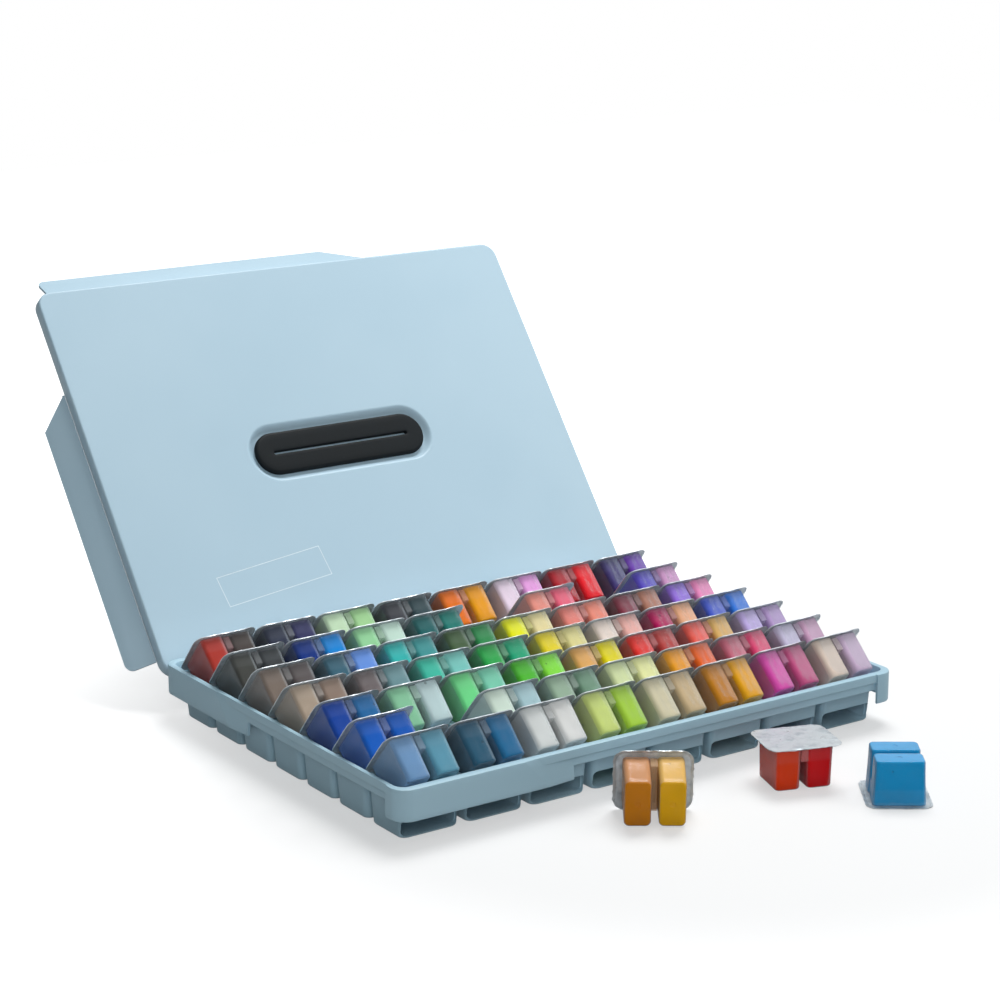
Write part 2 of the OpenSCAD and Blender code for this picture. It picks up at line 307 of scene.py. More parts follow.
@dataclass(frozen=True)
class ClearPlastic:
    """Thin clear plastic of the cups, with a frosted web between their wells."""

    name: str = "cup_plastic_clear"
    colour: Colour = linear(190, 200, 206)
    white: Colour = linear(205, 210, 214)
    # Strength of the painted glow that the frosted web gives off in its paints' colour.
    glow: float = 0.10
    veil: float = 0.008
    frosted: float = 0.36
    edge: float = 0.22

    def make(self) -> Material:
        """Builds the material: draw marks, glossier at a slant, and a painted glow in the frosted web, in the
        colour of the paints beside it.

        Returns:
            The material.
        """
        mix = Recipe(bpy.data.materials.new(self.name))
        marks = mix.noise(420.0, 3.0)
        haze = mix.noise(120.0, 3.0).ease(0.35, 0.8)
        relief = mix.bump(marks, 0.22, 0.00025)
        slant = mix.node("ShaderNodeFresnel", {}, {"IOR": 1.45, "Normal": relief}).ease(0.03, 0.75)
        frost = mix.field("frost")
        # The frosted web's colour is mostly the paints' colour: painted light that it passes on from them.
        tint = mix.blend(0.35, mix.field("tint", "Color"), self.white)
        return mix.finish({
            "Base Color": mix.blend(frost, self.colour, tint),
            "Roughness": haze * 0.10 + frost * 0.3 + 0.07, "Normal": relief,
            "Alpha": (haze * 0.01 + slant * self.edge + frost * self.frosted + self.veil).clamp(),
            # The emission is a painted glow: light that the frosted web seems to pass on from the paints.
            "IOR": 1.5, "Specular IOR Level": 0.3, "Emission Strength": 1.0,
            "Emission Color": mix.blend(frost * self.glow, BLACK, tint),
        })


@dataclass(frozen=True)
class SealFoil:
    """Wrinkled sealing foil."""

    name: str = "seal_foil_wrinkled"
    colour: Colour = linear(208, 214, 218)
    dull: Colour = linear(168, 176, 182)
    metal: float = 0.5

    def make(self) -> Material:
        """Builds the material: long folds and small dents over a fine rolled grain.

        Returns:
            The material.
        """
        mix = Recipe(bpy.data.materials.new(self.name))
        folds = mix.cells("Distance", feature="DISTANCE_TO_EDGE").ease(0.0, 0.16)
        crush = mix.noise(150.0, 3.0, 0.55)
        relief = mix.bump(crush, 0.30, 0.0006, mix.bump(folds, 0.10, 0.0003))
        return mix.finish({
            "Base Color": mix.blend(crush.ease(0.42, 0.72), self.colour, self.dull),
            "Metallic": self.metal, "Roughness": crush * 0.25 + 0.20, "Normal": relief,
        })


@dataclass(frozen=True)
class Paste:
    """Gouache seen through the wall of its well; its colour is the mesh's own attribute."""

    name: str = "gouache_paste"
    # The grey painted into the air marks is painted shade in those hollows.
    hollow_shade: Colour = linear(60, 62, 64)
    haze: Colour = linear(196, 200, 204)

    def make(self) -> Material:
        """Builds the material: smears, and air marks against the wall darkened with painted shade, and a hazy
        shoulder.

        Returns:
            The material.
        """
        mix = Recipe(bpy.data.materials.new(self.name))
        hue = mix.field("paste", "Color")
        rise = mix.field("rise")
        smear = mix.noise(70.0, 3.0).ease(0.25, 0.75)
        tone = mix.blend(smear * 0.10, hue, BLACK)
        chosen = mix.node("ShaderNodeSeparateColor", {}, {0: mix.cells("Color")}).ease(0.86, 0.88)
        marks = (1.0 - mix.cells("Distance").ease(0.08, 0.15)) * chosen
        ragged = mix.noise(300.0, 3.0)
        lip = (rise + ragged * 0.12).ease(0.97, 1.03)
        hazy = rise.ease(0.60, 0.70) * 0.04 + lip * 0.12
        tone = mix.blend(hazy, tone, self.haze)
        # Air marks: hollows against the wall, darkened with painted shade.
        tone = mix.blend(marks * 0.75, tone, mix.blend(0.6, hue, self.hollow_shade))
        relief = mix.bump(mix.noise(260.0, 3.0), 0.25, 0.0003, mix.bump(1.0 - marks, 0.6, 0.0004))
        return mix.finish({
            "Base Color": tone, "Roughness": smear * 0.12 + 0.30, "Normal": relief,
            "Specular IOR Level": 0.05, "Coat Weight": 0.08, "Coat Roughness": 0.10,
        })


@dataclass(frozen=True)
class WhiteInk:
    """Thin white screen print."""

    name: str = "white_print"
    colour: Colour = linear(222, 234, 240)
    thin: Colour = linear(196, 214, 226)

    def make(self) -> Material:
        """Builds the material: a matte film a little uneven in cover.

        Returns:
            The material.
        """
        mix = Recipe(bpy.data.materials.new(self.name))
        cover = mix.noise(700.0, 2.0).ease(0.2, 0.8)
        return mix.finish({
            "Base Color": mix.blend(cover * 0.3, self.colour, self.thin), "Roughness": 0.6,
            "Specular IOR Level": 0.2,
        })


@dataclass(frozen=True)
class DarkRubber:
    """Matte dark grey of the grip, or the smoother plastic of its stems."""

    name: str
    colour: Colour
    fleck: Colour
    rough: float
    grain: float

    def make(self) -> Material:
        """Builds the material: a fine matte grain with a few pale flecks of dust.

        Returns:
            The material.
        """
        mix = Recipe(bpy.data.materials.new(self.name))
        dust = mix.noise(900.0, 2.0).ease(0.72, 0.80)
        rubbed = mix.noise(45.0, 4.0).ease(0.35, 0.75)
        relief = mix.bump(mix.noise(1800.0, 2.0), self.grain, 0.00012)
        return mix.finish({
            "Base Color": mix.blend(dust * 0.30 + rubbed * 0.04, self.colour, self.fleck),
            "Roughness": rubbed * 0.12 + self.rough, "Normal": relief, "Specular IOR Level": 0.12,
        })


# ----------------------------------------------------------------- mesh making


def link(name: str, data: Any) -> Object:
    """Puts new data in the scene as an object of this name.

    Args:
        name: the object's name.
        data: its mesh, camera or light.

    Returns:
        The object.
    """
    made = bpy.data.objects.new(name, data)
    bpy.context.scene.collection.objects.link(made)
    return made


def settle(made: Object) -> None:
    """Applies an object's modifiers and shades it smooth, save at its sharp edges.

    Args:
        made: the object.
    """
    bpy.context.view_layer.update()
    done = bpy.data.meshes.new_from_object(made.evaluated_get(bpy.context.evaluated_depsgraph_get()))
    made.modifiers.clear()
    made.data = done
    done.shade_smooth()
    done.set_sharp_from_angle(angle=math.radians(SHARP))


class Skin:
    """Collects grids of points into one mesh, with attributes for each point."""

    def __init__(self) -> None:
        """Starts an empty skin."""
        self.points: list[np.ndarray] = []
        self.quads: list[np.ndarray] = []
        self.caps: list[np.ndarray] = []
        self.fields: dict[str, list[np.ndarray]] = {}
        self.total = 0

    def lattice(self, points: np.ndarray, wrap: bool = True, keep: Optional[np.ndarray] = None,
                fields: Optional[dict[str, Any]] = None, capped: bool = False,
                loop: bool = False) -> "Skin":
        """Adds a grid of rings: face (i, j) joins points i, i+1 of rings j, j+1.

        Args:
            points: rings by points by 3, in millimetres.
            wrap: whether each ring closes.
            keep: which faces to keep, rings by points.
            fields: attribute values, one number or colour, or a number for each point.
            capped: whether the first and the last ring get a flat cap.
            loop: whether the last ring joins the first.

        Returns:
            The skin itself.
        """
        flat = points.reshape(-1, 3)
        numbers = np.arange(self.total, self.total + len(flat)).reshape(points.shape[:-1])
        self.points.append(flat)
        self.total += len(flat)
        for name, value in (fields or {}).items():
            shape = points.shape[:-1] + ((4,) if np.ndim(value) == 1 else ())
            values = np.broadcast_to(value, shape).reshape(len(flat), -1)
            self.fields.setdefault(name, []).append(values)
        following = np.roll(numbers, -1, axis=1)
        lower, upper = numbers, np.roll(numbers, -1, axis=0)
        quads = np.stack([lower, following, np.roll(following, -1, axis=0), upper], axis=-1)
        if not loop:
            quads = quads[:-1]
        if not wrap:
            quads = quads[:, :-1]
        if keep is not None:
            quads = quads[keep]
        self.quads.append(quads.reshape(-1, 4))
        if capped:
            self.caps += [numbers[0][::-1], numbers[-1]]
        return self

    def build(self, name: str, material: Material, weld: float = 0.004, crease: float = 38.0) -> Object:
        """Makes the object.

        Args:
            name: the object's name.
            material: its finish.
            weld: distance within which points merge, in millimetres.
            crease: angle above which an edge stays sharp, in degrees.

        Returns:
            The new object, linked to the scene.
        """
        mesh = bpy.data.meshes.new(name)
        faces = np.concatenate(self.quads).tolist() + [cap.tolist() for cap in self.caps]
        mesh.from_pydata((np.concatenate(self.points) * MM).tolist(), [], faces)
        for key, parts in self.fields.items():
            values = np.concatenate(parts)
            kind = "FLOAT_COLOR" if values.shape[1] == 4 else "FLOAT"
            made = mesh.attributes.new(key, kind, "POINT")
            made.data.foreach_set("color" if kind == "FLOAT_COLOR" else "value", values.ravel())
        shape = bmesh.new()
        shape.from_mesh(mesh)
        bmesh.ops.remove_doubles(shape, verts=shape.verts, dist=weld * MM)
        bmesh.ops.recalc_face_normals(shape, faces=shape.faces)
        shape.to_mesh(mesh)
        shape.free()
        mesh.shade_smooth()
        mesh.set_sharp_from_angle(angle=math.radians(crease))
        if "fold" in self.fields:
            folds, sharp = np.zeros(len(mesh.vertices)), np.zeros(len(mesh.edges), bool)
            ends = np.zeros(2 * len(mesh.edges), int)
            mesh.attributes["fold"].data.foreach_get("value", folds)
            mesh.edges.foreach_get("vertices", ends)
            mesh.edges.foreach_get("use_edge_sharp", sharp)
            mesh.edges.foreach_set("use_edge_sharp", sharp | (folds[ends.reshape(-1, 2)] > 0.5).all(1))
        mesh.materials.append(material)
        return link(name, mesh)


def outline(width: float, depth: float, radii: Union[float, Sequence[float]], arc: int,
            along: tuple[int, int] = (4, 4)) -> np.ndarray:
    """A rounded rectangle, anticlockwise from its front right corner.

    Each corner is a quarter circle about its own centre and each side is a
    straight run of evenly spaced points.

    Args:
        width: along X.
        depth: along Y.
        radii: one radius, or four from the front right corner.
        arc: steps in a corner.
        along: points inside the right and left sides, and inside the others.

    Returns:
        Points by 2.
    """
    corners = np.broadcast_to(radii, 4)[:, None]
    signs = np.array([[1, -1], [1, 1], [-1, 1], [-1, -1]])
    middles = signs * (np.array([width, depth]) / 2 - corners)
    turns = np.radians(-90 + 90 * np.arange(4))[:, None] + np.linspace(0, math.pi / 2, arc + 1)
    arcs = middles[:, None] + corners[:, None] * np.stack([np.cos(turns), np.sin(turns)], -1)
    runs = []
    for side in range(4):
        share = np.linspace(0, 1, along[side % 2] + 2)[1:-1, None]
        runs += [arcs[side], arcs[side][-1] + (arcs[(side + 1) % 4][0] - arcs[side][-1]) * share]
    return np.concatenate(runs)


def capsule(size: Sequence[float], grow: float, along: tuple[int, int] = (4, 26)) -> np.ndarray:
    """A long outline with round ends, grown by a length.

    Args:
        size: its length and width.
        grow: how far it is moved outwards.
        along: points inside its straight sides, as for outline.

    Returns:
        Points by 2.
    """
    wide, deep = size[0] + 2 * grow, size[1] + 2 * grow
    return outline(wide, deep, deep / 2 - 0.02, 14, along)


def plate(inset: float, size: tuple[float, float] = BOX, radius: float = CORNER) -> np.ndarray:
    """The lid's outline, or another rounded rectangle, moved inwards.

    Args:
        inset: how far it is moved.
        size: its width and depth.
        radius: its corner radius.

    Returns:
        Points by 2.
    """
    return outline(size[0] - 2 * inset, size[1] - 2 * inset, max(radius - inset, 0.5), 14, (4, 26))


def stack(levels: Levels) -> np.ndarray:
    """Puts outlines at their heights, as rings by points by 3."""
    return np.stack([np.column_stack([ring, np.full(len(ring), height)]) for ring, height in levels])


def ripple(x: np.ndarray, y: np.ndarray, draw: np.random.Generator, wave: float) -> np.ndarray:
    """A smooth random surface: the mean of five plane waves with random headings.

    Args:
        x, y: where to work it out, in millimetres.
        draw: the random source.
        wave: the longest wavelength in millimetres.

    Returns:
        Values from about -1 to 1.
    """
    count = 5
    heading = draw.uniform(0, 2 * math.pi, count)
    rate = 2 * math.pi / (wave * draw.uniform(0.45, 1.0, count))
    start = draw.uniform(0, 2 * math.pi, count)
    along = x[..., None] * np.cos(heading) + y[..., None] * np.sin(heading)
    return np.sin(along * rate + start).mean(-1) * 1.6


@dataclass(frozen=True)
class Pose:
    """A place in the part's frame: a turn, then a shift in millimetres."""

    turn: np.ndarray
    shift: np.ndarray

    def __call__(self, points: np.ndarray) -> np.ndarray:
        """Moves points to this place."""
        return points @ self.turn.T + self.shift


def turned(*steps: tuple[str, float]) -> np.ndarray:
    """The rotation matrix of several turns, the last one applied first.

    Args:
        steps: pairs of an axis letter and degrees.

    Returns:
        A 3 by 3 matrix.
    """
    result = Matrix.Identity(3)
    for axis, degrees in steps:
        result = result @ Matrix.Rotation(math.radians(degrees), 3, axis)
    return np.array(result)


def dress(piece: Object, body: str, slot: Optional[str], *nodes: str) -> None:
    """Puts a piece on its body.

    Args:
        piece: the piece.
        body: the body that it rides on.
        slot: its material slot, if it has one; not used.
        nodes: the CAD nodes that it stands for, if any.
    """
    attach(piece, body)
    if nodes:
        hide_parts(*nodes)
    LOG.info("%s rides on %s, %d faces", piece.name, body, len(piece.data.polygons))


# ------------------------------------------------------------------ paint chart

CHART: dict[str, tuple[int, int, int]] = {
    "grey blue": (112, 150, 190), "grey teal": (92, 150, 172), "deep slate": (38, 85, 110),
    "steel blue": (30, 102, 146), "light grey": (210, 212, 210), "warm white": (220, 219, 216),
    "yellow green": (198, 212, 120), "lime": (165, 205, 60), "khaki": (212, 202, 170),
    "tan": (200, 175, 135), "raw ochre": (190, 122, 15), "orange yellow": (255, 160, 5),
    "magenta": (212, 70, 165), "mauve rose": (190, 75, 125), "taupe": (215, 195, 180),
    "lilac": (198, 172, 198), "cobalt": (8, 88, 182), "bright blue": (12, 86, 178),
    "pale mint": (205, 220, 205), "pale sky": (165, 195, 200), "sage": (150, 175, 150),
    "moss grey": (110, 145, 120), "pale lime": (210, 220, 165), "cream": (230, 225, 160),
    "orange": (255, 150, 20), "vermilion": (255, 95, 20), "old rose": (190, 95, 115),
    "rose": (215, 65, 110), "pale lilac": (190, 180, 205), "pink mauve": (200, 155, 185),
    "ultramarine": (0, 62, 155), "prussian": (32, 102, 158), "mint": (135, 195, 155),
    "silver sky": (185, 205, 205), "emerald": (105, 205, 130), "seafoam": (120, 200, 170),
    "grass": (75, 180, 40), "spring lime": (130, 215, 60), "amber tan": (220, 165, 90),
    "yellow": (252, 210, 5), "scarlet": (240, 45, 35), "brick": (178, 60, 55),
    "coral red": (240, 85, 70), "ochre tan": (215, 170, 95), "wisteria": (180, 160, 210),
    "dusty lilac": (175, 145, 195), "rose tan": (168, 150, 132), "brown tan": (145, 124, 110),
    "brown grey": (110, 100, 100), "sea grey": (110, 145, 150), "turquoise": (60, 185, 160),
    "pale teal": (120, 195, 185), "green": (40, 165, 75), "jade": (30, 160, 115),
    "golden yellow": (240, 205, 30), "straw": (215, 205, 140), "blush": (245, 208, 196),
    "salmon pink": (245, 168, 158), "crimson rose": (175, 10, 85), "peach": (240, 165, 125),
    "blue violet": (62, 84, 190), "azure": (45, 115, 210), "umber": (120, 106, 96),
    "grey brown": (95, 87, 86), "slate": (58, 98, 115), "cornflower": (105, 150, 225),
    "lagoon": (50, 175, 170), "dull teal": (65, 150, 150), "olive": (70, 95, 60),
    "leaf": (45, 135, 75), "lemon": (250, 225, 10), "sand": (235, 210, 155),
    "salmon": (225, 128, 116), "salmon coral": (250, 132, 112), "maroon": (125, 50, 65),
    "rose brown": (170, 115, 95), "violet": (140, 100, 205), "pink": (230, 130, 180),
    "charcoal brown": (66, 66, 62), "charcoal": (58, 60, 62), "deep ultramarine": (4, 46, 125),
    "cerulean": (15, 130, 205), "light green": (150, 210, 155), "ice mint": (195, 220, 205),
    "deep teal": (25, 95, 95), "teal": (30, 120, 110), "pink salmon": (235, 140, 125),
    "bright rose": (240, 95, 120), "indigo violet": (80, 65, 175), "orchid mauve": (200, 145, 190),
    "red brown": (172, 52, 40), "bistre": (75, 66, 62), "ink": (45, 50, 70),
    "indigo": (55, 55, 95), "celadon": (195, 220, 185), "apple": (160, 205, 145),
    "soot": (60, 60, 65), "deep slate green": (50, 70, 75), "deep orange": (255, 110, 8),
    "amber": (255, 150, 0), "shell pink": (240, 205, 220), "orchid": (235, 155, 215),
    "deep crimson": (172, 18, 32), "red": (238, 15, 30), "midnight": (60, 50, 105),
    "purple": (105, 55, 165), "red orange": (255, 60, 5), "crimson": (208, 5, 15),
    "ochre": (200, 122, 0), "gold": (255, 168, 0), "sky cerulean": (12, 146, 202),
}

# Each cup's left and right paint, row by row from the front; a dash is an empty place.
ROWS: tuple[tuple[str, ...], ...] = (
    ("grey blue|grey teal", "deep slate|steel blue", "light grey|warm white", "yellow green|lime",
     "khaki|tan", "raw ochre|orange yellow", "magenta|mauve rose", "taupe|lilac"),
    ("cobalt|bright blue", "-", "pale mint|pale sky", "sage|moss grey",
     "pale lime|cream", "orange|vermilion", "old rose|rose", "pale lilac|pink mauve"),
    ("ultramarine|prussian", "mint|silver sky", "emerald|seafoam", "grass|spring lime",
     "amber tan|yellow", "scarlet|brick", "coral red|ochre tan", "wisteria|dusty lilac"),
    ("rose tan|brown tan", "brown grey|sea grey", "turquoise|pale teal", "green|jade",
     "golden yellow|straw", "blush|salmon pink", "crimson rose|peach", "blue violet|azure"),
    ("umber|grey brown", "slate|cornflower", "lagoon|dull teal", "olive|leaf",
     "lemon|sand", "salmon|salmon coral", "maroon|rose brown", "violet|pink"),
    ("charcoal brown|charcoal", "deep ultramarine|cerulean", "light green|ice mint", "deep teal|teal",
     "-", "pink salmon|bright rose", "-", "indigo violet|orchid mauve"),
    ("red brown|bistre", "ink|indigo", "celadon|apple", "soot|deep slate green",
     "deep orange|amber", "shell pink|orchid", "deep crimson|red", "midnight|purple"),
)


def strong(name: str, gain: float = 1.22) -> Colour:
    """A chart colour in linear light, raised partly for what the cup's wall takes away and partly as painted
    light against the shade that falls on the wells.

    Args:
        name: the chart's name.
        gain: how much it is raised, partly as painted light.

    Returns:
        The linear colour.
    """
    # The raise is partly painted light: brighter paint in place of light that the wells don't get.
    light = np.clip(np.array(linear(*CHART[name])) * gain, 0.0, 0.92)
    return (float(light[0]), float(light[1]), float(light[2]), 1.0)


# ------------------------------------------------------------------------ cups


@dataclass(frozen=True)
class CupLook:
    """The finishes of a cup's clear shell, its paint and its foil."""

    clear: Material
    paste: Material
    foil: Material


@dataclass
class PaintCup:
    """One clear cup with two wells, its two fills and its foil.

    The cup's own frame has its origin in the middle of the flange's top, with
    the wells hanging towards -Z.
    """

    flange_w: float = 37.4
    flange_d: float = 31.2
    flange_t: float = 0.8
    flange_r: float = 5.0
    height: float = 22.9
    well_w: float = 13.9
    well_d: float = 26.8
    taper_w: float = 0.6
    taper_d: float = 2.0
    well_x: float = 8.45
    well_r: float = 2.6
    wall: float = 0.10
    web_h: float = 8.2
    bow: float = 0.28
    gate_r: float = 1.5
    steps: int = 6
    foil_t: float = 0.25
    hem: float = 0.36
    loose_over: float = 1.0

    def ring(self, depth: float, inset: float) -> np.ndarray:
        """A well's outline at a depth, shrunk by an inset.

        The rounded rectangle narrows evenly with depth, and its sides bow in
        by a cosine across each side and a half sine down the well.

        Args:
            depth: millimetres below the flange's top.
            inset: how far the outline is moved inwards.

        Returns:
            Points by 2.
        """
        share = min(max((depth - self.flange_t) / (self.height - self.flange_t), 0.0), 1.0)
        wide = self.well_w - self.taper_w * share - 2 * inset
        deep = self.well_d - self.taper_d * share - 2 * inset
        flat = outline(wide, deep, max(self.well_r - inset * 0.6, 0.6), 4, (4, 2))
        bow = self.bow * math.sin(math.pi * share)
        across = np.cos(math.pi / 2 * np.clip(flat / (np.array([wide, deep]) / 2), -1, 1))
        return flat * (1 - bow * across[:, ::-1] / (np.array([wide, deep]) / 2))

    def descent(self, inset: float, top: float, bottom: float, corner: float) -> Levels:
        """Rings from the top of a well's wall to its rounded bottom edge.

        Args:
            inset: how far the wall lies inside the outer one.
            top: depth of the first ring.
            bottom: depth of the bottom.
            corner: radius of the bottom edge.

        Returns:
            Pairs of an outline and a height.
        """
        levels = [(self.ring(d, inset), -d) for d in np.linspace(top, bottom - corner, self.steps + 1)]
        for sweep in np.radians([35, 65, 90]):
            depth = bottom - corner + corner * math.sin(sweep)
            levels.append((self.ring(depth, inset + corner * (1 - math.cos(sweep))), -depth))
        return levels

    def gate(self, depth: float, inset: float, radius: float) -> np.ndarray:
        """The gate mark's circle, with a point towards each point of the well's outline.

        Args:
            depth: millimetres below the flange's top.
            inset: how far the well's outline is moved inwards.
            radius: the circle's radius.

        Returns:
            Points by 2.
        """
        floor = self.ring(depth, inset)
        spread = np.arctan2(floor[:, 1] / self.well_d, floor[:, 0] / self.well_w)
        return np.column_stack([np.cos(spread), np.sin(spread)]) * radius

    def shell(self, skin: Skin, pose: Pose, tint: np.ndarray) -> None:
        """Adds the clear shell: two halves of the flange, each with its well and gate mark, and the web.

        Args:
            skin: the mesh that takes it.
            pose: where the cup is.
            tint: the paints' mean colour, painted into the web as the light that it passes on from them.
        """
        for side in (-1, 1):
            middle = np.array([side * self.well_x, 0.0])
            corners = (0.0, 0.0, self.flange_r, self.flange_r)[::-side]
            half = outline(self.flange_w / 2, self.flange_d, corners, 4, (4, 2))
            half = half + [side * self.flange_w / 4, 0.0]
            trim = half * 0.988
            inside = self.descent(self.wall, 0.0, self.height - self.wall, 0.9)[::-1]
            outside = [(self.ring(self.flange_t, -0.3), -self.flange_t)]
            outside += self.descent(0.0, self.flange_t + 0.25, self.height, 1.2)
            outside += [(self.gate(self.height, 1.2, self.gate_r), -self.height),
                        (self.gate(self.height, 1.2, self.gate_r - 0.25), 0.22 - self.height)]
            levels = [(ring + middle, z) for ring, z in inside]
            levels += [(trim, 0.0), (half, -0.12), (half, 0.12 - self.flange_t), (trim, -self.flange_t)]
            levels += [(ring + middle, z) for ring, z in outside]
            seam = np.abs(half[:, 0]) < 0.01
            keep = np.ones((len(levels) - 1, len(half)), bool)
            keep[len(inside):len(inside) + 3, seam & np.roll(seam, -1)] = False
            skin.lattice(pose(stack(levels)), keep=keep, capped=True, fields={"frost": 0.0, "tint": tint})
        self.web(skin, pose, tint)

    def web(self, skin: Skin, pose: Pose, tint: np.ndarray) -> None:
        """Adds the clear web: an eight-sided prism that narrows between the wells.

        Args:
            skin: the mesh that takes it.
            pose: where the cup is.
            tint: the paints' mean colour, painted into it as the light that it passes on from them.
        """
        levels = []
        for depth in (self.flange_t - 0.1, self.web_h * 0.5, self.web_h - 0.25, self.web_h):
            slack = 0.35 * depth / self.height
            inner, outer, reach = 1.5 + slack, 1.7 + slack, self.well_d / 2 - 0.7 - slack
            if depth == self.web_h:
                inner, outer, reach = inner - 0.1, outer - 0.15, reach - 0.25
            ends = reach - 0.8
            right = np.array([[outer, -reach], [inner, -ends], [inner, ends], [outer, reach]])
            levels.append((np.concatenate([right, -right]), -depth))
        skin.lattice(pose(stack(levels)), capped=True, fields={"frost": 1.0, "tint": tint})

    def fill(self, skin: Skin, pose: Pose, side: int, colour: Colour) -> None:
        """Adds one well's paint, a rounded block just inside the well's wall.

        Args:
            skin: the mesh that takes it.
            pose: where the cup is.
            side: -1 for the left well, 1 for the right.
            colour: the paint's linear colour.
        """
        gap = self.wall + 0.05
        deep = self.height - gap
        levels = [(self.ring(0.1, gap + 0.5), -0.05)] + self.descent(gap, 0.1, deep, 1.0)
        levels += [(self.gate(deep, gap + 1.0, self.gate_r + 0.1), -deep),
                   (self.gate(deep, gap + 1.0, self.gate_r - 0.2), 0.3 - deep)]
        points = stack(levels) + [side * self.well_x, 0.0, 0.0]
        rise = 1 + points[..., 2] / self.height
        skin.lattice(pose(points), capped=True, fields={"rise": rise, "paste": colour})

    def foil(self, skin: Skin, pose: Pose, draw: np.random.Generator, over: float, curl: float,
             crush: float) -> None:
        """Adds the foil: a thin sheet in rings, rippled, with a hem pressed round the flange's edge.

        Its height is a random ripple that grows towards the edge; one corner
        is drawn out with the square of the distance into it, and its hem opens
        there. It stays low, so that the row behind can slide over it.

        Args:
            skin: the mesh that takes it.
            pose: where the cup is.
            draw: the random source.
            over: how far it spreads beyond the flange.
            curl: how far the upper right corner is drawn out.
            crush: depth of the ripples at the edge.
        """
        def at(grow: float) -> np.ndarray:
            """The flange's outline grown by a length."""
            size = np.array([self.flange_w, self.flange_d]) + 2 * grow
            return outline(size[0], size[1], self.flange_r + grow, 6, (14, 16))

        shares = np.array([0.1, 0.4, 0.62, 0.8, 0.9, 0.96])
        flat = np.concatenate([at(0.0)[None] * shares[:, None, None], at(-0.15)[None], at(over)[None]])
        x, y = flat[..., 0], flat[..., 1]
        swell = np.clip((np.append(shares, [0.985, 1.0]) - 0.55) / 0.45, 0, 1)[:, None]
        lift = np.abs(ripple(x, y, draw, 7.0)) * crush * (0.25 + swell) + 0.03
        corner = np.clip((x / (self.flange_w / 2) - y / (self.flange_d / 2) - 1.25) / 0.7, 0, None)
        drawn = curl * corner ** 2
        lift = lift * (1 - 0.6 * np.clip((y - 6.0) / 3.0, 0, 1)) + np.minimum(drawn * 0.15, 0.12)
        y = y - drawn * 0.6
        rim = at(over + 0.02)
        fold = ripple(rim[:, 0], rim[:, 1], draw, 4.0)
        out = 1 + fold[:, None] * (0.06 + over * 0.3) / np.linalg.norm(rim, axis=1)[:, None]
        free = np.clip(corner[-1] * 2, 0, 1) * (curl > 0.5)
        hem = self.hem * (1 - free) * (0.85 + 0.15 * fold)
        pull = np.outer(drawn[-1], [0.0, 0.6])
        last = np.column_stack([rim * out - pull, lift[-1] - 0.12 - hem])
        inside = np.column_stack([at(over - 0.12) - pull, last[:, 2]])
        sheet = np.dstack([x, y, lift])
        over_side = np.dstack([x, y, lift + 0.1])[:-1]
        rings = [over_side, sheet[-1:], last[None], inside[None], sheet[:-1][::-1]]
        skin.lattice(pose(np.concatenate(rings)), capped=True)


class CupGroup:
    """The meshes of the cups on one body: shells, left and right paints, and foils."""

    def __init__(self, cup: PaintCup) -> None:
        """Starts four empty skins for cups of this shape."""
        self.cup = cup
        self.shells, self.left, self.right, self.foils = (Skin() for _ in range(4))

    def add(self, pose: Pose, paints: Sequence[str], draw: np.random.Generator, over: float, curl: float,
            crush: float) -> None:
        """Adds one cup.

        Args:
            pose: where it is.
            paints: the names of its left and its right paint.
            draw: the random source of its foil.
            over, curl, crush: the foil's shape, as for PaintCup.foil.
        """
        hues = [strong(name) for name in paints]
        # The paints' mean colour, painted into the web as the light that it passes on from them.
        self.cup.shell(self.shells, pose, np.mean(hues, axis=0))
        self.cup.fill(self.left, pose, -1, hues[0])
        self.cup.fill(self.right, pose, 1, hues[1])
        self.cup.foil(self.foils, pose, draw, over, curl, crush)

    def finish(self, look: CupLook, body: str, slots: Sequence[str], ending: str = "") -> None:
        """Builds the four pieces and puts them on their body.

        Args:
            look: their finishes.
            body: the body, whose name starts the pieces' names.
            slots: the slots of the left and the right paint.
            ending: what ends the pieces' names.
        """
        for skin, name, finish, slot, node in (
                (self.shells, "clear_cup", look.clear, Slot.CLEAR.value, "cup"),
                (self.left, "left_fill", look.paste, slots[0], "left_paint"),
                (self.right, "right_fill", look.paste, slots[1], "right_paint"),
                (self.foils, "seal_foil", look.foil, Slot.FOIL.value, "foil")):
            piece = skin.build(f"{body}_{name}{ending}", finish)
            dress(piece, body, slot, f"{body}_{node}{ending}")


@dataclass
class CupRow:
    """One row of tipped cups in the tray."""

    number: int
    paints: tuple[str, ...]
    cup: PaintCup
    tip: float = 49.0059
    tip_y: float = 6.59246
    tip_rise: float = 12.3993
    over: float = 0.16
    crush: float = 0.13
    curls: tuple[float, float] = (0.3, 1.3)
    open_curl: float = 3.0

    def pose(self, column: int) -> Pose:
        """Where the cup of a column stands.

        Args:
            column: counted from the left, from 1.

        Returns:
            Its place.
        """
        x = (column - (COLUMNS + 1) / 2) * PITCH[0]
        y = (self.number - (ROWS_DEEP + 1) / 2) * PITCH[1] + self.tip_y
        return Pose(turned(("X", -self.tip)), np.array([x, y, DECK + self.tip_rise]))

    def build(self, look: CupLook) -> None:
        """Builds the row; a foil beside an empty pocket has its corner drawn out further.

        Args:
            look: the cups' finishes.
        """
        group = CupGroup(self.cup)
        for column, pair in enumerate(self.paints, 1):
            if pair == "-":
                continue
            draw = np.random.default_rng(100 * self.number + column)
            beside = self.paints[column:column + 1] == ("-",)
            curl = self.open_curl if beside else float(draw.uniform(*self.curls))
            group.add(self.pose(column), pair.split("|"), draw, self.over, curl, self.crush)
        body = f"row_{self.number}"
        group.finish(look, body, [f"paint_{body}"] * 2, "s")


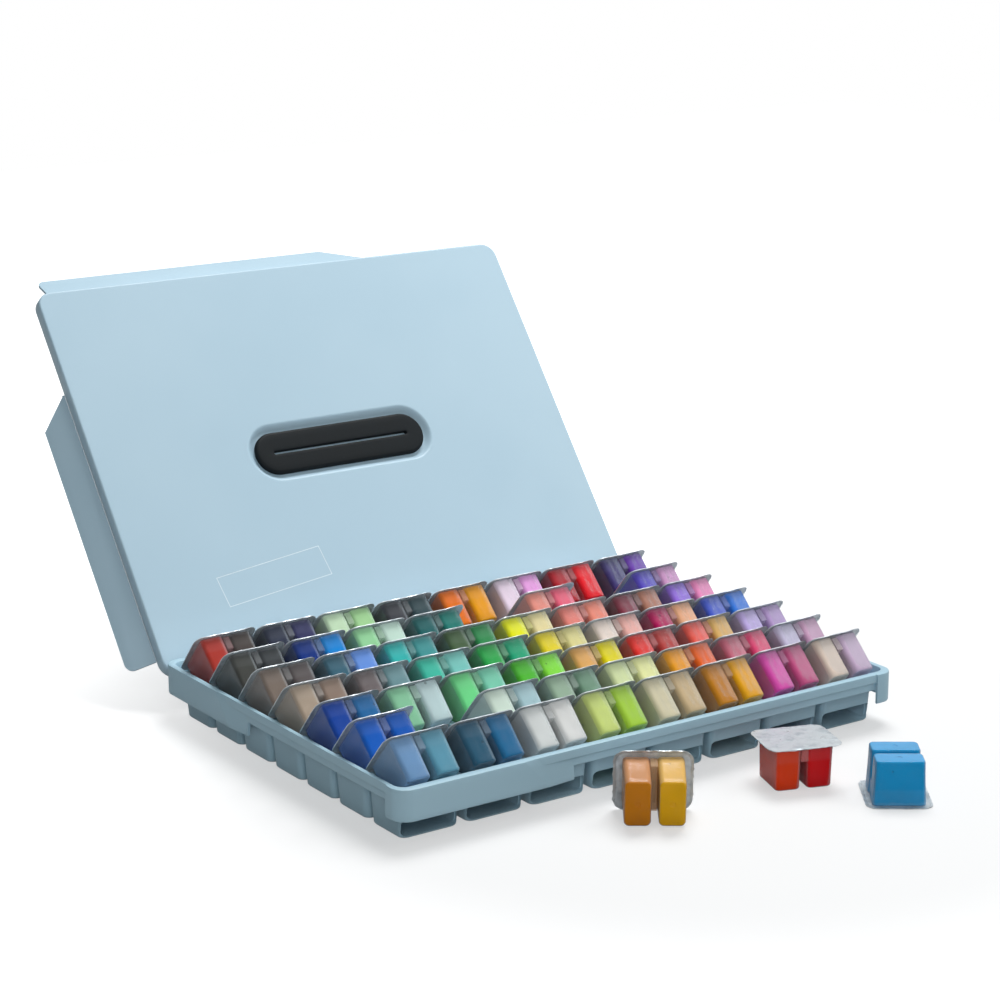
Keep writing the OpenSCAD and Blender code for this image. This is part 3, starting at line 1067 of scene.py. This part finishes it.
@dataclass
class LooseCup:
    """A cup that is out of the tray."""

    name: str
    pose: Pose
    paints: tuple[str, str]
    slots: tuple[str, str]
    cup: PaintCup
    curl: float = 0.0
    crush: float = 0.3

    def build(self, look: CupLook) -> None:
        """Builds the cup's shell, its fills and its foil.

        Args:
            look: the cup's finishes.
        """
        group = CupGroup(self.cup)
        draw = np.random.default_rng(len(self.name) * 7)
        group.add(self.pose, self.paints, draw, self.cup.loose_over, self.curl, self.crush)
        group.finish(look, f"loose_{self.name}", self.slots)


def loose_cups(cup: PaintCup) -> list[LooseCup]:
    """The three cups on the table: upright, lying on its side, and upside down.

    Args:
        cup: the cup's shape.

    Returns:
        The cups.
    """
    reach = cup.flange_d + 2 * cup.loose_over
    low = math.degrees(math.atan((reach - cup.well_d + cup.taper_d) / 2 / cup.height))
    rest = reach / 2 * math.cos(math.radians(low))
    upright = Pose(turned(("Z", -19.0)), np.array([56.2, -155.0, cup.height]))
    lying = Pose(turned(("Z", -35.0), ("X", low - 90.0)), np.array([-28.4, -146.9, rest]))
    inverted = Pose(turned(("Z", 55.0), ("X", 180.0)), np.array([84.3, -198.7, cup.foil_t]))
    return [
        LooseCup("red", upright, ("red orange", "crimson"), ("paint_orange_red", "paint_crimson"), cup,
                 curl=0.8),
        LooseCup("yellow", lying, ("ochre", "gold"), ("paint_ochre", "paint_yellow"), cup, crush=0.2),
        LooseCup("blue", inverted, ("sky cerulean",) * 2, ("paint_cerulean",) * 2, cup, crush=0.08),
    ]


# ------------------------------------------------------------------------ tray


@dataclass
class Tray:
    """The tray: pockets and deck, rim, and the four deep skirts."""

    height: float = 29.4
    inner: tuple[float, float] = (308.0, 228.2)
    deck_t: float = 1.2
    opening: tuple[float, float] = (33.6, 27.4)
    pocket_r: float = 2.4
    wall: float = 1.1
    floor: float = 1.2
    draft: tuple[float, float] = (1.5, 1.0)
    foot_r: float = 1.6
    lip_inset: float = 0.8
    lip_h: float = 4.7
    band_inset: float = 2.4
    band_h: float = 9.4
    skirt_h: float = 16.4
    skirt_t: float = 1.4
    runs: tuple[float, float] = (103.0, 90.0)
    wrap: float = 13.0
    facet_run: float = 31.0
    facet_turn: float = 8.0
    facet_lean: float = 42.0
    window_h: float = 8.8

    def pocket(self) -> np.ndarray:
        """One cell of the deck with its pocket, as a closed stack of rings.

        The rings go from the floor's middle up the inner wall, across the deck
        to the cell's edge, back under it and down the outer wall.

        Returns:
            Rings by points by 3.
        """
        arc, along = 5, (6, 8)

        def at(grow: float, share: float, radius: float) -> np.ndarray:
            """The pocket's outline grown by a length, at a share of the way down."""
            size = np.array(self.opening) + 2 * grow - 2 * np.array(self.draft) * share
            return outline(size[0], size[1], radius, arc, along)

        cell = outline(*PITCH, 0.0, arc, along)
        floor, r, outer = self.floor, self.pocket_r, self.pocket_r + self.wall
        inside = [(at(-6.0, 1.0, 1.0), floor), (at(-1.3, 1.0, r), floor), (at(-0.4, 1.0, r), floor + 0.35),
                  (at(0.0, 0.98, r), floor + 1.3)]
        inside += [(at(0.0, 1 - s, r), floor + (DECK - floor) * s) for s in (0.35, 0.7)]
        inside += [(at(0.0, 0.0, r), DECK - 0.5), (at(0.15, 0.0, r + 0.1), DECK - 0.14),
                   (at(0.5, 0.0, r + 0.4), DECK), (cell, DECK)]
        under = DECK - self.deck_t
        outside = [(cell, under), (at(self.wall + 0.02, 0.0, outer), under)]
        outside += [(at(self.wall, s, outer), under * (1 - s)) for s in (0.05, 0.35, 0.7)]
        foot = self.foot_r
        for turn in (0, 25, 50, 75, 90):
            sweep = math.radians(turn)
            outside.append((at(self.wall - foot * (1 - math.cos(sweep)), 1 - 0.02 * (1 - turn / 90), outer),
                            foot * (1 - math.sin(sweep))))
        outside.append((at(-6.0, 1.0, 1.0), 0.0))
        return stack(inside + outside)

    def deck_piece(self, plastic: Material) -> Object:
        """The deck with its pockets, and windows cut in the front ones.

        Args:
            plastic: the tray's finish.

        Returns:
            The piece.
        """
        cell, pockets, front, cutter = self.pocket(), Skin(), Skin(), Skin()
        columns = (np.arange(COLUMNS) - (COLUMNS - 1) / 2) * PITCH[0]
        rows = (np.arange(ROWS_DEEP) - (ROWS_DEEP - 1) / 2) * PITCH[1]
        for y in rows[1:]:
            for x in columns:
                pockets.lattice(cell + [x, y, 0.0], capped=True)
        hole = outline(self.opening[0] - 1.4, self.window_h, self.pocket_r, 6, (2, 6))
        hole = np.column_stack([hole[:, 0], np.zeros(len(hole)), hole[:, 1] + self.floor + self.window_h / 2])
        wall = rows[0] - self.opening[1] / 2
        for x in columns:
            front.lattice(cell + [x, rows[0], 0.0], capped=True)
            cutter.lattice(np.stack([hole + [x, wall + shift, 0.0] for shift in (-4.0, 3.0)]), capped=True)
        made, tool = front.build("tray_front_pockets", plastic), cutter.build("window_tool", plastic)
        windows = made.modifiers.new("windows", "BOOLEAN")
        windows.operation, windows.object, windows.solver = "DIFFERENCE", tool, "EXACT"
        settle(made)
        bpy.data.objects.remove(tool)
        rest = pockets.build("tray_pockets", plastic)
        bpy.ops.object.select_all(action="DESELECT")
        for piece in (made, rest):
            piece.select_set(True)
        bpy.context.view_layer.objects.active = rest
        bpy.ops.object.join()
        return rest

    def rim_piece(self, plastic: Material) -> Object:
        """The rim, its lip and the band under it, as one profile carried round the tray.

        Args:
            plastic: the tray's finish.

        Returns:
            The piece.
        """
        top, lip, band = self.height, self.lip_inset, self.band_inset
        shelf, under = top - self.lip_h, top - self.band_h

        def at(share: float, inset: float = 0.0) -> np.ndarray:
            """The outline at a share of the way from the outside to the inner wall."""
            size = np.array(BOX) - (np.array(BOX) - self.inner) * share - 2 * inset
            return outline(size[0], size[1], max(CORNER - 3.5 * share - inset, 0.5), 12, (10, 12))

        cells = outline(COLUMNS * PITCH[0] - 0.2, ROWS_DEEP * PITCH[1] - 0.2, 0.05, 12, (10, 12))
        profile = [(cells, DECK - 0.02), (at(1.0, 0.4), DECK - 0.02), (at(1.0, 0.05), DECK + 0.35),
                   (at(1.0), top - 0.7), (at(1.0, -0.25), top - 0.15), (at(1.0, -0.7), top),
                   (at(0.0, lip + 0.7), top), (at(0.0, lip + 0.2), top - 0.2), (at(0.0, lip), top - 0.7),
                   (at(0.0, lip), shelf + 0.3), (at(0.0, lip + 0.3), shelf),
                   (at(0.0, band + 0.02), shelf - 0.05), (at(0.0, band), under + 0.4),
                   (at(0.0, band + 0.4), under), (at(1.0, -0.2), under),
                   (at(1.0), DECK - self.deck_t - 0.3), (cells, DECK - self.deck_t - 0.02)]
        return Skin().lattice(stack(profile), loop=True).build("tray_rim", plastic, crease=40)

    def skirt(self, skin: Skin, turn: int) -> None:
        """Adds one deep skirt: a walled profile carried round a corner and along a side.

        Past a leaning crease the profile moves inwards in proportion to its
        distance from the crease, so that the skirt's end is a flat facet.

        Args:
            skin: the mesh that takes it.
            turn: quarter turns from the front skirt.
        """
        wide, deep = BOX if turn % 2 == 0 else BOX[::-1]
        run, r, t, top = self.runs[turn % 2], CORNER, self.skirt_t, self.height - 0.02
        low, hidden, shelf = self.height - self.skirt_h, self.band_inset + 0.06, self.height - self.band_h
        levels = np.array([(1.6, top), (0.8, top), (0.25, top - 0.18), (0.0, top - 0.7), (0.0, top - 4.5),
                           (0.0, shelf + 0.4), (0.0, shelf - 0.4), (0.0, low + 3.0), (0.0, low + 0.6),
                           (0.2, low + 0.15), (t / 2, low), (t - 0.2, low + 0.15), (t, low + 0.5),
                           (t, shelf - 0.5), (t + 0.5, shelf - 0.02), (hidden, shelf + 0.02),
                           (hidden, top - 0.5)])
        inset, height = levels[:, 0], levels[:, 1]
        arc, straight, rise, facet = 13, 8, 4, 10
        side, bend = 2 + arc, 2 + arc + straight + rise - 1
        sweep = np.linspace(math.pi, 1.5 * math.pi, arc)[:, None]
        crease = run - self.facet_run + (self.height - height) * math.tan(math.radians(self.facet_lean))
        start = run - self.facet_run - 8
        x = np.concatenate([np.repeat(inset[None], 2, 0), r + (r - inset) * np.cos(sweep),
                            np.repeat(np.linspace(r + 4, start, straight)[:, None], len(height), 1),
                            start + (crease - start) * np.linspace(0.25, 1, rise)[:, None],
                            crease + (run - crease) * np.linspace(0.1, 1, facet)[:, None]])
        y = np.zeros_like(x)
        y[:2] = np.array([[self.wrap], [(self.wrap + r) / 2]])
        y[2:side] = r + (r - inset) * np.sin(sweep)
        past = np.clip(x - crease, 0, None) * math.cos(math.radians(self.facet_lean))
        depth = past * math.tan(math.radians(self.facet_turn))
        depth = np.where(height > shelf, np.minimum(depth, np.maximum(hidden - inset, 0)), depth)
        y[side:] = (inset + depth)[side:]
        points = np.dstack([x - wide / 2, y - deep / 2, np.broadcast_to(height, x.shape)])
        fold = np.zeros(x.shape)
        fold[bend] = inset < t / 2
        skin.lattice(points @ turned(("Z", 90.0 * turn)).T, capped=True, fields={"fold": fold})

    def build(self, plastic: Material) -> None:
        """Builds the tray's pieces.

        Args:
            plastic: their finish.
        """
        deck, rim, skirts = self.deck_piece(plastic), self.rim_piece(plastic), Skin()
        for turn in range(4):
            self.skirt(skirts, turn)
        for piece in (deck, rim, skirts.build("tray_skirts", plastic, crease=30)):
            dress(piece, "tray", Slot.BOX.value, "tray")


# ------------------------------------------------------------------------- lid


@dataclass
class Lid:
    """The lid's panel with its rim and recess, the flaps and the handle."""

    panel: float = 1.6
    rim: float = 7.3
    wall: float = 1.4
    ridge: tuple[float, float] = (306.8, 227.0)
    ridge_r: float = 5.5
    ridge_low: float = 9.3
    edge_r: float = 1.1
    recess: tuple[float, float] = (115.6, 28.0)
    recess_h: float = 3.6
    flare: float = 4.3
    recess_wall: float = 1.4
    grip: tuple[float, float] = (114.0, 26.4)
    grip_t: float = 3.2
    grip_edge: float = 1.9
    slit: tuple[float, float] = (91.4, 2.0)
    grip_clear: float = 0.1
    print_at: tuple[float, float] = (-73.4, -74.5)
    print_size: tuple[float, float] = (70.0, 18.7)
    print_turn: float = 6.7
    print_line: float = 0.45
    print_film: float = 0.03
    lean: float = 38.0
    foot: Place = (3.0, 119.55, 20.8394)

    def pose(self) -> Pose:
        """Where the lid stands: leaning back on its lower edge."""
        turn = turned(("X", 90 - self.lean))
        return Pose(turn, np.array(self.foot) + turn @ np.array([0.0, BOX[1] / 2, 0.0]))

    def panel_piece(self, plastic: Material) -> Object:
        """The lid's moulding, as one closed stack of rings.

        The rings climb out of the recess on a smooth S, cross the face, round
        the edge, go down the rim, and come back under the panel.

        Args:
            plastic: its finish.

        Returns:
            The piece.
        """
        def dish(grow: float) -> np.ndarray:
            """The recess's outline grown by a length."""
            return capsule(self.recess, grow)

        def ridge(inset: float) -> np.ndarray:
            """The ridge's outline moved inwards."""
            return plate(inset, self.ridge, self.ridge_r)

        wall, floor, panel = self.wall, -self.recess_h, -self.panel
        levels = [(dish(-5.0), floor), (dish(-1.0), floor)]
        for share in np.linspace(0, 1, 9):
            climb = share * share * (3 - 2 * share)
            levels.append((dish(-0.3 + (self.flare + 0.5) * share), floor * (1 - climb)))
        mouth, edge = dish(self.flare + 0.6), plate(self.edge_r + 0.4)
        levels += [(mouth + (edge - mouth) * s, 0.0) for s in (0.0, 0.25, 0.5, 0.75, 0.97, 1.0)]
        for turn in np.radians([0, 22.5, 45, 67.5, 90]):
            levels.append((plate(self.edge_r * (1 - math.sin(turn))), -self.edge_r * (1 - math.cos(turn))))
        levels += [(plate(0.0), -self.rim + 0.4), (plate(0.15), -self.rim + 0.1), (plate(0.45), -self.rim),
                   (plate(wall - 0.3), -self.rim), (plate(wall), -self.rim + 0.3), (plate(wall), panel)]
        low = -self.ridge_low
        levels += [(ridge(0.0), panel), (ridge(0.0), low + 0.3), (ridge(0.3), low), (ridge(wall - 0.3), low),
                   (ridge(wall), low + 0.3), (ridge(wall), panel)]
        inner, boss = ridge(wall), dish(self.flare + self.recess_wall)
        levels += [(inner + (boss - inner) * s, panel) for s in (0.03, 0.5, 0.97, 1.0)]
        wall, low = self.recess_wall, floor - self.recess_wall + 0.04
        levels += [(boss, floor + 0.3), (dish(self.flare + wall - 0.3), floor), (dish(wall + 0.3), floor),
                   (dish(wall), floor - 0.3), (dish(wall), low + 0.3), (dish(wall - 0.3), low),
                   (dish(-5.0), low)]
        skin = Skin().lattice(self.pose()(stack(levels)), capped=True)
        return skin.build("lid_moulding", plastic, crease=30)

    def grip_piece(self, rubber: Material) -> Object:
        """The grip: a closed loop of rings from its slit, over its face and round its edge.

        Args:
            rubber: its finish.

        Returns:
            The piece.
        """
        low = self.grip_clear - self.recess_h
        top = low + self.grip_t
        e, face = self.grip_edge, low + self.grip_t - 0.02

        def slit(grow: float) -> np.ndarray:
            """The slit's outline grown by a length."""
            return capsule(self.slit, grow, (2, 20))

        def grip(grow: float) -> np.ndarray:
            """The grip's outline grown by a length."""
            return capsule(self.grip, grow, (2, 20))

        levels = [(slit(0.1), low), (slit(0.0), low + 0.3), (slit(0.0), top - 0.5), (slit(0.12), top - 0.18),
                  (slit(0.5), top - 0.03), (slit(2.0), top), (grip(-5.0), top), (grip(-e), face)]
        for turn in np.radians([25, 50, 75, 90]):
            levels.append((grip(-e * (1 - math.sin(turn))), face - e * 0.95 * (1 - math.cos(turn))))
        levels += [(grip(0.0), low + 0.5), (grip(-0.2), low + 0.1), (grip(-0.6), low)]
        skin = Skin().lattice(self.pose()(stack(levels)), loop=True)
        return skin.build("handle_soft_grip", rubber, crease=45)

    def print_piece(self, ink: Material) -> Object:
        """The printed plain frame, a thin closed loop lying on the lid's face.

        Args:
            ink: its finish.

        Returns:
            The piece.
        """
        place = Pose(turned(("Z", self.print_turn)), np.array([*self.print_at, 0.0]))
        size, film = np.array(self.print_size), self.print_film
        outer, inner = (outline(*(size - 2 * line), 0.02, 1) for line in (0.0, self.print_line))
        rings = stack([(outer, 0.0), (outer, film), (inner, film), (inner, 0.0)])
        skin = Skin().lattice(self.pose()(place(rings)), loop=True)
        return skin.build("lid_printed_frame", ink, weld=0.001)

    def build(self, plastic: Material, rubber: Material, dark: Material, ink: Material) -> None:
        """Builds the lid, its print, the flaps and the handle.

        Args:
            plastic: the lid's finish.
            rubber: the grip's finish.
            dark: the stems' finish.
            ink: the print's finish.
        """
        dress(self.panel_piece(plastic), "lid", Slot.BOX.value, "lid")
        dress(self.print_piece(ink), "lid", None)
        dress(self.grip_piece(rubber), "handle", Slot.GRIP.value, "handle_grip")
        for side in ("lower", "left", "upper", "right"):
            name = f"{side}_flap"
            dress(eased_copy(name, f"{name}_moulding", plastic, 0.3), name, Slot.BOX.value, name)
        for name in ("handle_stems", "handle_retainers"):
            dress(eased_copy(name, f"{name}_turned", dark, 0.25), "handle", Slot.HANDLE.value, name)


def eased_copy(node: str, name: str, material: Material, ease: float) -> Object:
    """A welded copy of a CAD node with its sharp edges rounded.

    Args:
        node: the CAD node.
        name: the copy's name.
        material: its finish.
        ease: width of the rounded edges, in millimetres.

    Returns:
        The copy.
    """
    mesh = bpy.data.objects[node].data.copy()
    mesh.name = name
    shape = bmesh.new()
    shape.from_mesh(mesh)
    bmesh.ops.remove_doubles(shape, verts=shape.verts, dist=0.002 * MM)
    bmesh.ops.dissolve_limit(shape, angle_limit=math.radians(0.8), verts=shape.verts, edges=shape.edges)
    shape.to_mesh(mesh)
    shape.free()
    mesh.materials.clear()
    mesh.materials.append(material)
    made = link(name, mesh)
    bevel = made.modifiers.new("eased", "BEVEL")
    bevel.width, bevel.segments, bevel.limit_method = ease * MM, 3, "ANGLE"
    bevel.angle_limit, bevel.use_clamp_overlap, bevel.harden_normals = math.radians(SHARP + 2), True, False
    settle(made)
    return made


# ---------------------------------------------------------------------- studio


@dataclass(frozen=True)
class Lamp:
    """A square area lamp; its place and side are in metres, its power in watts."""

    name: str
    place: Place
    side: float
    power: float

    def hang(self, target: Place) -> None:
        """Adds the lamp, facing a point.

        Args:
            target: the point, in metres.
        """
        data = bpy.data.lights.new(self.name, "AREA")
        data.shape, data.size, data.energy = "SQUARE", self.side, self.power
        away = np.array(self.place) - np.array(target)
        tilt = Matrix.Rotation(math.atan2(math.hypot(away[0], away[1]), away[2]), 4, "X")
        spin = Matrix.Rotation(math.atan2(away[0], -away[1]), 4, "Z")
        link(self.name, data).matrix_world = Matrix.Translation(self.place) @ spin @ tilt


@dataclass
class Studio:
    """Camera, floor, world and lamps; gloss sees the white around at part strength."""

    place: Place = (-773.04, -1091.50, 475.56)
    yaw: float = 34.7
    pitch: float = 14.83
    roll: float = -0.07
    focal_px: float = 2615.4
    middle: tuple[float, float] = (500.38, 500.62)
    sensor: float = 36.0
    floor_half: float = 2.2
    floor_tone: Colour = linear(172, 172, 172)
    shadow_at: Place = (0.05, -0.09, 0.0)
    sky: Colour = (0.78, 0.94, 1.0, 1.0)
    ambient: float = 0.15
    gloss: float = 0.42
    target: Place = (0.0, 0.0, 0.03)
    lamps: tuple[Lamp, ...] = (
        Lamp("key_lamp", (0.60, 0.42, 1.62), 0.9, 29.0),
        Lamp("side_lamp", (1.50, -0.90, 1.40), 1.2, 13.0),
        Lamp("left_lamp", (-1.10, -1.75, 1.00), 1.2, 14.0),
    )

    def camera(self) -> None:
        """Sets up the camera at the photograph's place, heading and lens."""
        data = bpy.data.cameras.new("photo_camera")
        data.sensor_width = self.sensor
        data.sensor_fit = "HORIZONTAL"
        data.lens = self.focal_px / IMAGE_SIZE * self.sensor
        data.shift_x = -(self.middle[0] - IMAGE_SIZE / 2) / IMAGE_SIZE
        data.shift_y = (self.middle[1] - IMAGE_SIZE / 2) / IMAGE_SIZE
        data.clip_start, data.clip_end = 0.05, 50.0
        made = link("photo_camera", data)
        turn = (Matrix.Rotation(-math.radians(self.yaw), 4, "Z")
                @ Matrix.Rotation(math.radians(90 - self.pitch), 4, "X")
                @ Matrix.Rotation(math.radians(self.roll), 4, "Z"))
        made.matrix_world = Matrix.Translation([v * MM for v in self.place]) @ turn
        bpy.context.scene.camera = made

    def seen(self, mix: Recipe) -> Wire:
        """Tells the rays that see white: 1 from the camera and through glass, and a share in gloss.

        Args:
            mix: the tree that takes the nodes.

        Returns:
            The share of white.
        """
        kinds = ("Camera", "Glossy", "Transmission")
        rays = [mix.node("ShaderNodeLightPath", {}, {}, f"Is {kind} Ray") for kind in kinds]
        return (rays[0] + rays[1] * self.gloss + rays[2]).clamp()

    def floor(self) -> None:
        """Makes the floor, which shows white to the camera and keeps the shadow near the tray's front."""
        mix = Recipe(bpy.data.materials.new("floor_white"))
        inputs = {0: mix.place(), 1: self.shadow_at}
        away = mix.node("ShaderNodeVectorMath", {"operation": "DISTANCE"}, inputs, "Value")
        material = mix.finish({
            "Base Color": self.floor_tone, "Roughness": 0.85, "Specular IOR Level": 0.1,
            "Emission Color": WHITE,
            "Emission Strength": self.seen(mix) * (away.ease(0.20, 0.42) * 0.52 + 0.49),
        })
        span = np.linspace(-self.floor_half, self.floor_half, 9) / MM
        x, y = np.meshgrid(span, span)
        skin = Skin().lattice(np.stack([x, y, np.full(x.shape, -0.02)], -1), wrap=False)
        made = skin.build("floor", material)
        made.data.flip_normals()

    def world(self) -> None:
        """Lights all sides softly and shows white behind, in gloss and through glass."""
        mix = Recipe(bpy.data.worlds.new("studio"))
        sky = mix.node("ShaderNodeBackground", {}, {"Color": self.sky, "Strength": self.ambient})
        white = mix.node("ShaderNodeBackground", {}, {"Color": WHITE, "Strength": 1.0})
        both = mix.node("ShaderNodeMixShader", {}, {0: self.seen(mix), 1: sky, 2: white})
        bpy.context.scene.world = mix.close(both, "ShaderNodeOutputWorld")

    def build(self) -> None:
        """Sets up the whole studio."""
        self.camera()
        self.floor()
        self.world()
        for lamp in self.lamps:
            lamp.hang(self.target)
        bpy.context.scene.view_settings.view_transform = "Standard"


def main() -> None:
    """Builds the scene's pieces in order."""
    logging.basicConfig(level=logging.INFO, format="%(name)s: %(message)s")
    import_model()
    Studio().build()
    plastic = MouldedPlastic().make()
    # The tray's copy of the plastic is darker and more saturated: painted shade for its shaded sides.
    shaded_tray_plastic = MouldedPlastic("tray_plastic_painted_shade", linear(166, 197, 211), linear(154, 187, 203)).make()
    look = CupLook(ClearPlastic().make(), Paste().make(), SealFoil().make())
    rubber = DarkRubber("grip_rubber_matte", linear(17, 22, 25), linear(80, 88, 94), 0.52, 0.30).make()
    dark = DarkRubber("handle_plastic_dark", linear(26, 30, 34), linear(80, 84, 90), 0.42, 0.15).make()
    cup = PaintCup()
    Tray().build(shaded_tray_plastic)
    Lid().build(plastic, rubber, dark, WhiteInk().make())
    for number, paints in enumerate(ROWS, 1):
        CupRow(number, paints, cup).build(look)
    for loose in loose_cups(cup):
        loose.build(look)
    bpy.context.view_layer.update()


if __name__ == "__main__":
    main()
